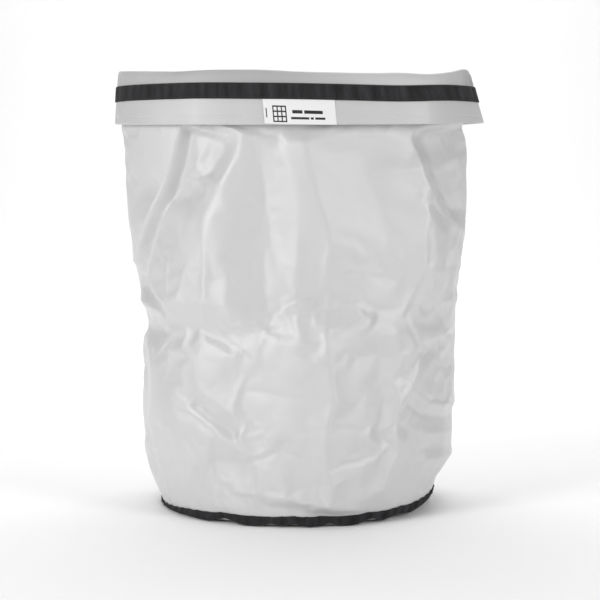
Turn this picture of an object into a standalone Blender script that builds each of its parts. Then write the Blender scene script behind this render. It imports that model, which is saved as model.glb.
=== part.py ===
"""A round-based cloth filter bag that stands open, with its mouth turned down into a cuff.

Frame: metres, +Z up, front at -Y, right at +X.  The origin is on the floor, at the middle of
the base.  The base is a disc of filter mesh; the wall of the bag goes from round at the base to
a flattened oval at the mouth.
"""
import math

import bmesh
import bpy
from mathutils import Vector

# Driving sizes of the bag.
BAG_HEIGHT = 0.430
BASE_RADIUS = 0.1330
BELLY_HALF_WIDTH = 0.1545
SHOULDER_HALF_WIDTH = 0.1675
MOUTH_HALF_WIDTH = 0.1725
MOUTH_HALF_DEPTH = 0.0950
CUFF_DROP = 0.051
CUFF_FLARE = 0.0090
WEBBING_WIDTH = 0.0150
WEBBING_BELOW_FOLD = 0.0150

# Thickness of each layer of cloth or tape.
CLOTH = 0.0007
CUFF_CLOTH = 0.0008
MESH_CLOTH = 0.0006
WEBBING = 0.0010
TAPE = 0.0009
LABEL = 0.0005
THREAD_RADIUS = 0.00035
LAYER_GAP = 0.0005

# Every ring around the bag has this many corners, so that nested layers stay parallel.
RING_STEPS = 48
BACK_STEP = RING_STEPS / 2

# Where the wall changes shape, as heights above the floor.
WALL_FOOT = 0.0035
BELLY_HEIGHT = 0.0650
WAIST_HEIGHT = 0.1750
SHOULDER_HEIGHT = 0.2900
WALL_ROWS = 12
WALL_ROW_EASING = 1.5

# The fold at the mouth and the hem at the cuff's lower edge.
FOLD_RADIUS = 0.0020
FOLD_STEPS = 4
FACING_DROP = 0.0220
HEM_TURN = 0.0090
HEM_RADIUS = 0.0009
HEM_STEPS = 2

# The base: a mesh disc with its rim turned up inside the wall, and a tape outside the seam.
MESH_FLAT_RADIUS = 0.1255
MESH_RIM_RADIUS = 0.1316
MESH_RIM_HEIGHT = 0.0095
MESH_CORNER_STEPS = 4
MESH_INNER_RINGS = 3
TAPE_FOOT = 0.0008
TAPE_TOP = 0.0098

# Sewn details.
STITCH_INSET = 0.0016
HEM_STITCH_RISE = 0.0075
FACING_STITCH_RISE = 0.0030
LABEL_HALF_WIDTH_STEPS = 1.42
LABEL_FOOT_ABOVE_HEM = 0.0018
TACK_INSET_STEPS = 0.10
TACK_WIDTH_STEPS = 0.045
TACK_LENGTH = 0.0070
TACK_RISE = 0.0065
LAP_HALF_WIDTH_STEPS = 0.60
SEAM_HALF_WIDTH_STEPS = 0.22
SEAM_STITCH_STEPS = 0.13
SEAM_FOOT = 0.0125
SEAM_TOP = 0.3950
SEAM_CLOTH = 0.0007

# Finishes: colour, roughness and metallic.
WHITE_NYLON = ((0.74, 0.74, 0.74, 1.0), 0.60, 0.0)
FACING_NYLON = ((0.66, 0.66, 0.66, 1.0), 0.62, 0.0)
BLACK_WEBBING = ((0.020, 0.020, 0.021, 1.0), 0.80, 0.0)
BLACK_TAPE = ((0.014, 0.014, 0.015, 1.0), 0.85, 0.0)
BLACK_THREAD = ((0.030, 0.030, 0.031, 1.0), 0.70, 0.0)
WHITE_THREAD = ((0.78, 0.78, 0.77, 1.0), 0.65, 0.0)
LABEL_SATIN = ((0.88, 0.88, 0.88, 1.0), 0.45, 0.0)
GREY_MESH = ((0.62, 0.62, 0.61, 1.0), 0.55, 0.0)


def clear_scene():
    for item in list(bpy.data.objects):
        bpy.data.objects.remove(item, do_unlink=True)


def smooth_step(value):
    """0 below 0, 1 above 1, and an even S-curve between them."""
    held = min(max(value, 0.0), 1.0)
    return held * held * (3.0 - 2.0 * held)


def wall_oval(height):
    """Half width and half depth of the bag's wall at a height."""
    rounding = math.sin(min(height / BELLY_HEIGHT, 1.0) * math.pi / 2)
    widening = smooth_step((height - WAIST_HEIGHT) / (SHOULDER_HEIGHT - WAIST_HEIGHT))
    opening = max(height - SHOULDER_HEIGHT, 0.0) / (BAG_HEIGHT - SHOULDER_HEIGHT)
    flattening = smooth_step(height / BAG_HEIGHT)
    half_width = BASE_RADIUS + (BELLY_HALF_WIDTH - BASE_RADIUS) * rounding
    half_width += (SHOULDER_HALF_WIDTH - BELLY_HALF_WIDTH) * widening
    half_width += (MOUTH_HALF_WIDTH - SHOULDER_HALF_WIDTH) * opening
    half_depth = BASE_RADIUS + (MOUTH_HALF_DEPTH - BASE_RADIUS) * flattening
    return half_width, half_depth


def oval_corner(half_width, half_depth, height, step):
    """Corner of a ring, counted from the front round to the right."""
    angle = 2 * math.pi * step / RING_STEPS
    return Vector((half_width * math.sin(angle), -half_depth * math.cos(angle), height))


def oval_point(half_width, half_depth, height, step):
    """Point on a ring's straight sides, where step need not be a whole number."""
    corner = math.floor(step)
    start = oval_corner(half_width, half_depth, height, corner)
    end = oval_corner(half_width, half_depth, height, corner + 1)
    return start.lerp(end, step - corner)


def full_ring(half_width, half_depth, height):
    return [oval_corner(half_width, half_depth, height, step) for step in range(RING_STEPS)]


def part_ring(half_width, half_depth, height, first_step, last_step):
    """Points along a ring from one step to another, with every corner between them."""
    corners = range(math.floor(first_step) + 1, math.ceil(last_step))
    steps = [first_step, *corners, last_step]
    return [oval_point(half_width, half_depth, height, step) for step in steps]


def finish_material(name, finish):
    colour, roughness, metallic = finish
    material = bpy.data.materials.new(name + "_finish")
    material.use_nodes = True
    shader = material.node_tree.nodes["Principled BSDF"]
    shader.inputs["Base Color"].default_value = colour
    shader.inputs["Roughness"].default_value = roughness
    shader.inputs["Metallic"].default_value = metallic
    material.diffuse_color = colour
    return material


def add_object(name, data, finish):
    data.materials.append(finish_material(name, finish))
    item = bpy.data.objects.new(name, data)
    bpy.context.scene.collection.objects.link(item)
    return item


def join_rows(shape, rows, closed):
    """Quads between neighbouring rows, with their fronts outwards for rows that go up."""
    grid = [[shape.verts.new(point) for point in row] for row in rows]
    count = len(grid[0])
    columns = count if closed else count - 1
    for low, high in zip(grid, grid[1:]):
        for column in range(columns):
            after = (column + 1) % count
            shape.faces.new((low[column], low[after], high[after], high[column]))
    return grid


def sheet(name, rows, closed, thickness, finish, cap_first=False):
    """Cloth or tape through rows of points, half its thickness on each side of them."""
    shape = bmesh.new()
    grid = join_rows(shape, rows, closed)
    if cap_first:
        shape.faces.new(list(reversed(grid[0])))
    mesh = bpy.data.meshes.new(name)
    shape.to_mesh(mesh)
    shape.free()
    mesh.shade_smooth()
    item = add_object(name, mesh, finish)
    layer = item.modifiers.new("thickness", "SOLIDIFY")
    layer.thickness = thickness
    layer.offset = 0.0
    layer.use_even_offset = True


def thread(name, points, cyclic, finish):
    """A row of sewing thread as one round cord through its points."""
    curve = bpy.data.curves.new(name, "CURVE")
    curve.dimensions = "3D"
    curve.bevel_depth = THREAD_RADIUS
    curve.bevel_resolution = 0
    curve.use_fill_caps = True
    line = curve.splines.new("POLY")
    line.points.add(len(points) - 1)
    for spot, point in zip(line.points, points):
        spot.co = (*point, 1.0)
    line.use_cyclic_u = cyclic
    add_object(name, curve, finish)


def wall_heights():
    """Heights of the wall's rows, closer together near the rounded base."""
    top = BAG_HEIGHT - FOLD_RADIUS - 2 * CUFF_CLOTH
    steps = [(row / WALL_ROWS) ** WALL_ROW_EASING for row in range(WALL_ROWS + 1)]
    return [WALL_FOOT + (top - WALL_FOOT) * step for step in steps]


def bag_body():
    rows = [full_ring(*wall_oval(height), height) for height in wall_heights()]
    sheet("bag_body", rows, True, CLOTH, WHITE_NYLON)


def cuff_oval(height, lift):
    """Half width and half depth of the cuff's outer leg, moved out by lift."""
    drop = (BAG_HEIGHT - height) / CUFF_DROP
    flare = FOLD_RADIUS + CUFF_FLARE * drop + lift
    return MOUTH_HALF_WIDTH + flare, MOUTH_HALF_DEPTH + flare


def cuff_arc(centre, radius, steps, first_turn, last_turn):
    """Profile points (reach, height) round a fold, with turns in half circles from outwards."""
    reach, height = centre
    points = []
    for step in range(steps + 1):
        angle = math.pi * (first_turn + (last_turn - first_turn) * step / steps)
        points.append((reach + radius * math.cos(angle), height + radius * math.sin(angle)))
    return points


def cuff_profile():
    """The cuff in section, from its turned-up hem, up its outer leg, over the fold and inside."""
    hem_height = BAG_HEIGHT - CUFF_DROP + HEM_RADIUS + CUFF_CLOTH / 2
    hem_reach = FOLD_RADIUS + CUFF_FLARE
    fold_height = BAG_HEIGHT - FOLD_RADIUS - CUFF_CLOTH / 2
    hem_slope = CUFF_FLARE / CUFF_DROP * HEM_TURN
    turned_edge = (hem_reach - 2 * HEM_RADIUS - hem_slope, hem_height + HEM_TURN)
    hem = cuff_arc((hem_reach - HEM_RADIUS, hem_height), HEM_RADIUS, HEM_STEPS, -1.0, 0.0)
    fold = cuff_arc((0.0, fold_height), FOLD_RADIUS, FOLD_STEPS, 0.0, 1.0)
    facing_edge = (-FOLD_RADIUS, BAG_HEIGHT - FACING_DROP)
    return [turned_edge, *hem, *fold, facing_edge]


def mouth_cuff():
    rows = []
    for reach, height in cuff_profile():
        rows.append(full_ring(MOUTH_HALF_WIDTH + reach, MOUTH_HALF_DEPTH + reach, height))
    sheet("mouth_cuff", rows, True, CUFF_CLOTH, FACING_NYLON)


def webbing_lift(layer):
    """How far the middle of webbing layer 0 or 1 stands out from the middle of the cuff."""
    first = CUFF_CLOTH / 2 + LAYER_GAP + WEBBING / 2
    return first + layer * (WEBBING + LAYER_GAP)


def webbing_edges():
    top = BAG_HEIGHT - WEBBING_BELOW_FOLD
    return top - WEBBING_WIDTH, top


def mouth_webbing():
    rows = [full_ring(*cuff_oval(height, webbing_lift(0)), height) for height in webbing_edges()]
    sheet("mouth_webbing", rows, True, WEBBING, BLACK_WEBBING)


def webbing_lap():
    """The overlapping end of the webbing, at the middle of the back."""
    first_step = BACK_STEP - LAP_HALF_WIDTH_STEPS
    last_step = BACK_STEP + LAP_HALF_WIDTH_STEPS
    rows = []
    for height in webbing_edges():
        rows.append(part_ring(*cuff_oval(height, webbing_lift(1)), height, first_step, last_step))
    sheet("webbing_lap", rows, False, WEBBING, BLACK_WEBBING)


def webbing_stitches():
    """Two rows of thread that sew the webbing down; they pass over the lapped end."""
    foot, top = webbing_edges()
    heights = {"lower": foot + STITCH_INSET, "upper": top - STITCH_INSET}
    clearance = WEBBING / 2 + LAYER_GAP + THREAD_RADIUS
    for place, height in heights.items():
        points = []
        for step in range(RING_STEPS):
            over_lap = abs(step - BACK_STEP) <= math.ceil(LAP_HALF_WIDTH_STEPS)
            lift = webbing_lift(1 if over_lap else 0) + clearance
            points.append(oval_corner(*cuff_oval(height, lift), height, step))
        thread("webbing_stitch_" + place, points, True, BLACK_THREAD)


def cuff_hem_stitch():
    height = BAG_HEIGHT - CUFF_DROP + HEM_STITCH_RISE
    lift = CUFF_CLOTH / 2 + LAYER_GAP + THREAD_RADIUS
    steps = range(math.ceil(LABEL_HALF_WIDTH_STEPS), RING_STEPS - math.floor(LABEL_HALF_WIDTH_STEPS))
    points = [oval_corner(*cuff_oval(height, lift), height, step) for step in steps]
    thread("cuff_hem_stitch", points, False, WHITE_THREAD)


def facing_stitch():
    """The row that sews the cuff to the wall, seen inside the mouth."""
    height = BAG_HEIGHT - FACING_DROP + FACING_STITCH_RISE
    inset = FOLD_RADIUS + CUFF_CLOTH / 2 + LAYER_GAP + THREAD_RADIUS
    points = full_ring(MOUTH_HALF_WIDTH - inset, MOUTH_HALF_DEPTH - inset, height)
    thread("facing_stitch", points, True, WHITE_THREAD)


def label_lift():
    return CUFF_CLOTH / 2 + LAYER_GAP + LABEL / 2


def size_label():
    foot = BAG_HEIGHT - CUFF_DROP + LABEL_FOOT_ABOVE_HEM
    top = webbing_edges()[0] - LAYER_GAP
    rows = []
    for height in (foot, top):
        half_width, half_depth = cuff_oval(height, label_lift())
        side = LABEL_HALF_WIDTH_STEPS
        rows.append(part_ring(half_width, half_depth, height, -side, side))
    sheet("size_label", rows, False, LABEL, LABEL_SATIN)


def label_tack():
    """The short upright bar of thread that holds the label's left end."""
    first_step = TACK_INSET_STEPS - LABEL_HALF_WIDTH_STEPS
    last_step = first_step + TACK_WIDTH_STEPS
    foot = BAG_HEIGHT - CUFF_DROP + TACK_RISE
    lift = label_lift() + LABEL / 2 + LAYER_GAP + THREAD_RADIUS
    rows = []
    for height in (foot, foot + TACK_LENGTH):
        rows.append(part_ring(*cuff_oval(height, lift), height, first_step, last_step))
    sheet("label_tack", rows, False, 2 * THREAD_RADIUS, BLACK_THREAD)


def base_mesh():
    """A flat mesh disc whose rim turns up inside the foot of the wall."""
    rows = []
    for ring in range(1, MESH_INNER_RINGS + 1):
        radius = MESH_FLAT_RADIUS * ring / MESH_INNER_RINGS
        rows.append(full_ring(radius, radius, MESH_CLOTH / 2))
    corner = MESH_RIM_RADIUS - MESH_FLAT_RADIUS
    for step in range(1, MESH_CORNER_STEPS + 1):
        angle = math.pi / 2 * step / MESH_CORNER_STEPS
        radius = MESH_FLAT_RADIUS + corner * math.sin(angle)
        height = MESH_CLOTH / 2 + corner * (1 - math.cos(angle))
        rows.append(full_ring(radius, radius, height))
    rows.append(full_ring(MESH_RIM_RADIUS, MESH_RIM_RADIUS, MESH_RIM_HEIGHT))
    sheet("base_mesh", rows, True, MESH_CLOTH, GREY_MESH, cap_first=True)


def tape_oval(height, lift):
    """Half width and half depth of the base tape's middle, moved out by lift."""
    half_width, half_depth = wall_oval(height)
    reach = CLOTH / 2 + LAYER_GAP + TAPE / 2 + lift
    return half_width + reach, half_depth + reach


def base_tape():
    heights = [TAPE_FOOT, *(row for row in wall_heights() if row < TAPE_TOP), TAPE_TOP]
    rows = [full_ring(*tape_oval(height, 0.0), height) for height in heights]
    sheet("base_tape", rows, True, TAPE, BLACK_TAPE)


def base_tape_stitches():
    heights = {"lower": TAPE_FOOT + STITCH_INSET, "upper": TAPE_TOP - STITCH_INSET}
    lift = TAPE / 2 + LAYER_GAP + THREAD_RADIUS
    for place, height in heights.items():
        points = full_ring(*tape_oval(height, lift), height)
        thread("base_tape_stitch_" + place, points, True, BLACK_THREAD)


def seam_heights():
    """Heights of the wall's own rows between the ends of the back seam, and those ends."""
    inner = [height for height in wall_heights() if SEAM_FOOT < height < SEAM_TOP]
    return [SEAM_FOOT, *inner, SEAM_TOP]


def wall_row_point(height, lift, step):
    """Point lifted off the wall's flat faces, which run straight between its rows."""
    rows = wall_heights()
    above = next(index for index, row in enumerate(rows) if row >= height)
    low, high = rows[above - 1], rows[above]
    share = (height - low) / (high - low)
    low_width, low_depth = wall_oval(low)
    high_width, high_depth = wall_oval(high)
    half_width = low_width + (high_width - low_width) * share + lift
    half_depth = low_depth + (high_depth - low_depth) * share + lift
    return oval_point(half_width, half_depth, height, step)


def back_seam():
    """The felled strip that closes the wall's cloth up the middle of the back."""
    lift = CLOTH / 2 + LAYER_GAP + SEAM_CLOTH / 2
    side = SEAM_HALF_WIDTH_STEPS
    rows = []
    for height in seam_heights():
        steps = (BACK_STEP - side, BACK_STEP, BACK_STEP + side)
        rows.append([wall_row_point(height, lift, step) for step in steps])
    sheet("back_seam", rows, False, SEAM_CLOTH, WHITE_NYLON)


def back_seam_stitches():
    lift = CLOTH / 2 + 2 * LAYER_GAP + SEAM_CLOTH + THREAD_RADIUS
    for side, place in ((-1, "right"), (1, "left")):
        step = BACK_STEP + side * SEAM_STITCH_STEPS
        points = [wall_row_point(height, lift, step) for height in seam_heights()]
        thread("back_seam_stitch_" + place, points, False, WHITE_THREAD)


def build():
    clear_scene()
    bag_body()
    mouth_cuff()
    mouth_webbing()
    webbing_lap()
    webbing_stitches()
    cuff_hem_stitch()
    facing_stitch()
    size_label()
    label_tack()
    base_mesh()
    base_tape()
    base_tape_stitches()
    back_seam()
    back_seam_stitches()


build()
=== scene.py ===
"""Looks of a cloth filter bag that stands open with its mouth turned down into a cuff.

The CAD part gives the frame: metres, +Z up, front at -Y, right at +X.  Every piece here is a
ring, disc, strip or row of thread set out on the frame's ovals and folded as soft cloth.
Lengths that belong to folds and stitches are written in millimetres, times MM.
"""
from math import asin, cos, pi, sin

import bpy
import numpy as np
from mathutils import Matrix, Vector, noise


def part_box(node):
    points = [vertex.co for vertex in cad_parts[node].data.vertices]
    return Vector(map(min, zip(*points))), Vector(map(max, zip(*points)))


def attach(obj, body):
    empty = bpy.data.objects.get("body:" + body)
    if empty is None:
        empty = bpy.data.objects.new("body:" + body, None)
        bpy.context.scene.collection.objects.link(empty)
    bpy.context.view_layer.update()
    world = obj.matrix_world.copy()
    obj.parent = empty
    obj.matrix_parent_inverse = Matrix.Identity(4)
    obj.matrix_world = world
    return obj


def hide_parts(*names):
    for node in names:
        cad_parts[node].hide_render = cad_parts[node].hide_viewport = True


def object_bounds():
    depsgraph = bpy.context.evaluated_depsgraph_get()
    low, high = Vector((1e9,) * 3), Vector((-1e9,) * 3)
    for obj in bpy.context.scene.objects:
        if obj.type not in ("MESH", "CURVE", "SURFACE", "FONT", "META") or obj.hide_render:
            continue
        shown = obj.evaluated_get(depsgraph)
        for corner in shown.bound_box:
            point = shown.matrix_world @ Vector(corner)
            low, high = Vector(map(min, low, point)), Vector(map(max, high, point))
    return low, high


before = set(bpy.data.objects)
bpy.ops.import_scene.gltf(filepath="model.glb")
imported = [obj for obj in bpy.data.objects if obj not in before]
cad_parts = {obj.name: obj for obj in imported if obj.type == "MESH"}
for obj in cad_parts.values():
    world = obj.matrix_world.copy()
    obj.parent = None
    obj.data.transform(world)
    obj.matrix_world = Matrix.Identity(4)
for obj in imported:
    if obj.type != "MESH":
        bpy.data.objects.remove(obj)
cad_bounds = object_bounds()
scene = bpy.context.scene

# ---- sizes, the object's own from the frame, and colours
MM = 0.001
BAG_HEIGHT = cad_bounds[1][2]
CUFF_LOW, CUFF_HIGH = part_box("mouth_cuff")
WEBBING_LOW, WEBBING_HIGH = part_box("mouth_webbing")
LABEL_HALF_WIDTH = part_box("size_label")[1].x
TAPE_LOW, TAPE_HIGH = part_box("base_tape")
MESH_LOW, MESH_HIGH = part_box("base_mesh")
MESH_RADIUS = MESH_HIGH.x
SEAM_LOW, SEAM_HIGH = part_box("back_seam")
SEAM_HALF_WIDTH = SEAM_HIGH.x
LAP_HALF_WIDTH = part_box("webbing_lap")[1].x
CUFF_DROP = BAG_HEIGHT - CUFF_LOW.z
WEBBING_TOP_DROP = BAG_HEIGHT - WEBBING_HIGH.z
WEBBING_FOOT_DROP = BAG_HEIGHT - WEBBING_LOW.z
CUFF_HALF_WIDTH = CUFF_HIGH.x
CUFF_HALF_DEPTH = CUFF_HIGH.y

CLOTH_THICKNESS = 0.5 * MM
CUFF_THICKNESS = 0.8 * MM
WEBBING_THICKNESS = 1.1 * MM
TAPE_THICKNESS = 0.9 * MM
LABEL_THICKNESS = 0.35 * MM
MESH_THICKNESS = 0.5 * MM
SEAM_THICKNESS = 0.5 * MM
THREAD_RADIUS = 0.28 * MM


def grey(level):
    return (level, level, level, 1.0)


CLOTH_WHITE = grey(0.675)
CUFF_WHITE = grey(0.595)
MESH_GREY = grey(0.6)
TAPE_BLACK = (0.011, 0.011, 0.012, 1.0)
THREAD_COLOURS = {"dark_thread": (0.035, 0.035, 0.036, 1.0), "light_thread": grey(0.8)}
LABEL_WHITE = grey(0.93)
PRINT_BLACK = grey(0.012)
STUDIO_WHITE = grey(0.97)


# ---- small helpers
def smooth_step(value):
    held = np.clip(value, 0.0, 1.0)
    return held * held * (3.0 - 2.0 * held)


def unit(vectors):
    return vectors / np.linalg.norm(vectors, axis=-1, keepdims=True)


def bumps(places, shapes):
    """Rounded bumps, each (centre, width, height) in millimetres, added up at places."""
    total = np.zeros_like(places)
    for centre, width, height in shapes:
        total += height * MM * np.exp(-(((places - centre * MM) / (width * MM)) ** 2))
    return total


def roughen(points, size, seed):
    """Smooth noise from -1 to 1 at points, with features of about one size."""
    flat = points.reshape(-1, 3) / size + seed
    values = [noise.noise(Vector(point)) for point in flat]
    return np.array(values).reshape(points.shape[:-1])


def new_mesh(name, points, faces):
    mesh = bpy.data.meshes.new(name)
    mesh.from_pydata(np.reshape(points, (-1, 3)).tolist(), [], faces)
    return mesh


def grid_cells(points, closed):
    """Each cell of a grid of points: its row, its column and the column after it."""
    row_count, column_count = points.shape[:2]
    for row in range(row_count - 1):
        for column in range(column_count if closed else column_count - 1):
            yield row, column, (column + 1) % column_count


def grid_faces(points, closed, first=0):
    """The faces of a grid of points, numbered from the first."""
    faces = []
    for row, column, after in grid_cells(points, closed):
        low = first + row * points.shape[1]
        high = low + points.shape[1]
        faces.append((low + column, low + after, high + after, high + column))
    return faces


def grid_piece(name, points, closed, thickness, material, node, outwards=-1.0):
    """A cloth piece through a grid of points (rows up, columns round), given a thickness.

    outwards is -1 where the points are the cloth's outer face, and 0 where they are its middle.
    """
    mesh = new_mesh(name, points, grid_faces(points, closed))
    add_cloth_coordinates(mesh, points, closed)
    mesh.shade_smooth()
    piece = add_piece(name, mesh, material, [node])
    thicken(piece, thickness, outwards)
    return piece


def thicken(piece, thickness, outwards):
    layer = piece.modifiers.new("thickness", "SOLIDIFY")
    layer.thickness = thickness
    layer.offset = outwards


def reach_along(line):
    """How far along a line of points each one lies."""
    steps = np.linalg.norm(np.diff(line, axis=0), axis=1)
    return np.concatenate([[0.0], np.cumsum(steps)])


def add_cloth_coordinates(mesh, points, closed):
    """Texture coordinates in metres along the cloth: U round the piece and V up it."""
    middle = points[len(points) // 2]
    around = reach_along(np.concatenate([middle, middle[:1]]))
    up = reach_along(points[:, 0])
    cells = []
    for row, column, _ in grid_cells(points, closed):
        left, right = around[column], around[column + 1]
        low, high = up[row], up[row + 1]
        cells.append((left, low, right, low, right, high, left, high))
    layer = mesh.uv_layers.new(name="cloth")
    layer.data.foreach_set("uv", np.array(cells).ravel())


def new_object(name, data):
    item = bpy.data.objects.new(name, data)
    scene.collection.objects.link(item)
    return item


def add_piece(name, data, material, nodes=()):
    data.materials.append(material)
    piece = new_object(name, data)
    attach(piece, "root")
    if nodes:
        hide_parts(*nodes)
    return piece


# ---- materials
def new_material(name, colour, roughness, gloss=()):
    """A material, its node tree and its shader; gloss gives more of the shader's inputs."""
    material = bpy.data.materials.new(name)
    material.use_nodes = True
    shader = material.node_tree.nodes["Principled BSDF"]
    for key, value in (("Base Color", colour), ("Roughness", roughness), *gloss):
        shader.inputs[key].default_value = value
    return material, material.node_tree, shader


def feed(tree, socket, value):
    """Give an input a plain value, or link another node's output into it."""
    if isinstance(value, bpy.types.NodeSocket):
        tree.links.new(value, socket)
    else:
        socket.default_value = value


def add_node(tree, kind, **values):
    """A shader node with its settings and with what its named inputs are fed."""
    node = tree.nodes.new("ShaderNode" + kind)
    for key, value in values.items():
        if hasattr(node, key):
            setattr(node, key, value)
        else:
            feed(tree, node.inputs[key.replace("_", " ")], value)
    return node


def cloth_position(tree):
    """The cloth's own coordinates, in metres."""
    return add_node(tree, "UVMap", uv_map="cloth").outputs["UV"]


def object_position(tree):
    return add_node(tree, "TexCoord").outputs["Object"]


def wave(tree, source, direction, period):
    """Even stripes across a direction, a period apart."""
    scale = pi / (10.0 * period)
    return add_node(tree, "TexWave", bands_direction=direction, Scale=scale, Vector=source).outputs["Fac"]


def combine(tree, operation, first, second):
    node = add_node(tree, "Math", operation=operation)
    feed(tree, node.inputs[0], first)
    feed(tree, node.inputs[1], second)
    return node.outputs["Value"]


def rise_between(tree, source, low, high, kind="LINEAR"):
    """0 below low and 1 above high."""
    node = add_node(tree, "MapRange", interpolation_type=kind, Value=source, From_Min=low, From_Max=high)
    return node.outputs["Result"]


def noise_value(tree, size, detail, source=None):
    """Noise with features of about one size, in the object's coordinates unless given a source."""
    place = source or object_position(tree)
    return add_node(tree, "TexNoise", Scale=1.0 / size, Detail=detail, Vector=place).outputs["Fac"]


def shade_between(tree, factor, dark, light):
    """A colour between two, by a factor."""
    ramp = add_node(tree, "ValToRGB", Fac=factor)
    ramp.color_ramp.elements[0].color = dark
    ramp.color_ramp.elements[1].color = light
    return ramp.outputs["Color"]


def colour_by(tree, shader, factor, colour, dark, light):
    """Colour a material from a dark share of a colour to a light one, by a factor."""
    shade = shade_between(tree, factor, darker(colour, dark), darker(colour, light))
    feed(tree, shader.inputs["Base Color"], shade)


def bump_from(tree, shader, height, distance):
    node = add_node(tree, "Bump", Distance=distance, Strength=1.0, Height=height)
    feed(tree, shader.inputs["Normal"], node.outputs["Normal"])


def darker(colour, share):
    return (colour[0] * share, colour[1] * share, colour[2] * share, 1.0)


def nylon(name, colour, roughness):
    """Thin plain-weave nylon: crossing threads, faint slubs and a satin shine."""
    thread_period = 0.55 * MM
    slub_size = 30 * MM
    weave_share = 0.35
    material, tree, shader = new_material(name, colour, roughness, [("Specular IOR Level", 1.0)])
    place = cloth_position(tree)
    warp = wave(tree, place, "X", thread_period)
    weft = wave(tree, place, "Y", thread_period)
    weave = combine(tree, "MULTIPLY", warp, weft)
    cloud = noise_value(tree, slub_size, 3.0)
    weave_tone = combine(tree, "MULTIPLY", weave, weave_share)
    cloud_tone = combine(tree, "MULTIPLY", cloud, 1.0 - weave_share)
    tone = combine(tree, "ADD", weave_tone, cloud_tone)
    colour_by(tree, shader, tone, colour, 0.955, 1.035)
    bump_from(tree, shader, weave, 0.05 * MM)
    return material


# How strongly painted shade darkens the cuff's strip above the webbing, from left to right: place, strength.
STRIP_SHADOW = [(0.04, 0.18), (0.1, 0.22), (0.19, 0.5), (0.3, 0.5), (0.5, 0.28), (0.58, 0.16),
                (0.67, 0.02), (0.76, 0.0), (0.86, 0.0), (0.93, 0.08)]
STRIP_EDGE = 3 * MM
WHITE = grey(1.0)
DARKEST_PAINTED_SHADE = grey(0.35)


def cuff_nylon_with_painted_shade(name, colour, roughness):
    """The facing's nylon, with painted shade in its colour along the strip above the webbing."""
    material = nylon(name, colour, roughness)
    tree = material.node_tree
    shader = tree.nodes["Principled BSDF"]
    place = add_node(tree, "SeparateXYZ", Vector=object_position(tree))
    webbing_top = BAG_HEIGHT - WEBBING_TOP_DROP
    edge = (webbing_top - STRIP_EDGE, webbing_top + STRIP_EDGE)
    above = rise_between(tree, place.outputs["Z"], *edge, "SMOOTHSTEP")
    along = rise_between(tree, place.outputs["X"], -CUFF_HALF_WIDTH, CUFF_HALF_WIDTH)
    strength = add_node(tree, "ValToRGB", Fac=along)
    for share, level in STRIP_SHADOW:
        stop = strength.color_ramp.elements.new(share)
        stop.color = grey(level)
    # Painted shade: the strip above the webbing is darkened in the colour, by the strength set across it.
    shadow = combine(tree, "MULTIPLY", above, strength.outputs["Color"])
    tint = shade_between(tree, shadow, WHITE, DARKEST_PAINTED_SHADE)
    white = shader.inputs["Base Color"].links[0].from_socket
    mixed = add_node(tree, "MixRGB", blend_type="MULTIPLY", Fac=1.0, Color1=white, Color2=tint)
    feed(tree, shader.inputs["Base Color"], mixed.outputs["Color"])
    return material


TAPE_GLOSS = [("Specular IOR Level", 0.25), ("Sheen Weight", 0.05), ("Sheen Roughness", 0.5)]


def ribbed_tape(name, roughness, rib_period):
    """Woven webbing: cross ribs, a fine lengthwise thread and lighter worn streaks across it."""
    thread_period = 0.7 * MM
    streak_size = 9 * MM
    material, tree, shader = new_material(name, TAPE_BLACK, roughness, TAPE_GLOSS)
    place = cloth_position(tree)
    ribs = wave(tree, place, "X", rib_period)
    threads = wave(tree, place, "Y", thread_period)
    relief = combine(tree, "ADD", ribs, combine(tree, "MULTIPLY", threads, 0.45))
    lengthwise = add_node(tree, "VectorMath", operation="MULTIPLY", Vector=place)
    lengthwise.inputs[1].default_value = (1.0, 0.15, 1.0)
    streaks = noise_value(tree, streak_size, 5.0, lengthwise.outputs["Vector"])
    wear = combine(tree, "POWER", streaks, 2.0)
    tone = combine(tree, "MULTIPLY", combine(tree, "ADD", relief, 0.4), wear)
    colour_by(tree, shader, tone, TAPE_BLACK, 0.2, 7.0)
    bump_from(tree, shader, relief, 0.12 * MM)
    return material


def thread_material(name, colour):
    """Twisted sewing thread: fine slanting plies."""
    material, tree, shader = new_material(name, colour, 0.55)
    plies = wave(tree, object_position(tree), "DIAGONAL", 0.35 * MM)
    colour_by(tree, shader, plies, colour, 0.75, 1.1)
    bump_from(tree, shader, plies, 0.05 * MM)
    return material


THREADS = {slot: thread_material(slot, colour) for slot, colour in THREAD_COLOURS.items()}


def filter_mesh(name, colour):
    """Monofilament mesh: crossing round filaments with darker gaps between them."""
    period = 0.9 * MM
    material, tree, shader = new_material(name, colour, 0.45)
    place = object_position(tree)
    across = wave(tree, place, "X", period)
    along = wave(tree, place, "Y", period)
    filaments = combine(tree, "MAXIMUM", across, along)
    colour_by(tree, shader, filaments, colour, 0.45, 1.1)
    bump_from(tree, shader, filaments, 0.2 * MM)
    return material


def label_satin(name, colour):
    """Printed satin ribbon: very fine lengthwise threads and a soft shine."""
    material, tree, shader = new_material(name, colour, 0.4)
    threads = wave(tree, cloth_position(tree), "Y", 0.4 * MM)
    cloud = noise_value(tree, 8 * MM, 2.0)
    tone = combine(tree, "MULTIPLY", threads, cloud)
    colour_by(tree, shader, tone, colour, 0.96, 1.02)
    bump_from(tree, shader, threads, 0.03 * MM)
    return material


def print_ink(name, colour):
    """Matt printing ink, slightly broken by the ribbon's threads."""
    material, tree, shader = new_material(name, colour, 0.7)
    grain = noise_value(tree, 0.5 * MM, 2.0)
    colour_by(tree, shader, grain, colour, 1.0, 2.5)
    bump_from(tree, shader, grain, 0.02 * MM)
    return material


def studio_paper(name, colour):
    material, tree, shader = new_material(name, colour, 0.9)
    grain = noise_value(tree, 40 * MM, 2.0)
    colour_by(tree, shader, grain, colour, 0.99, 1.0)
    return material


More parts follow.
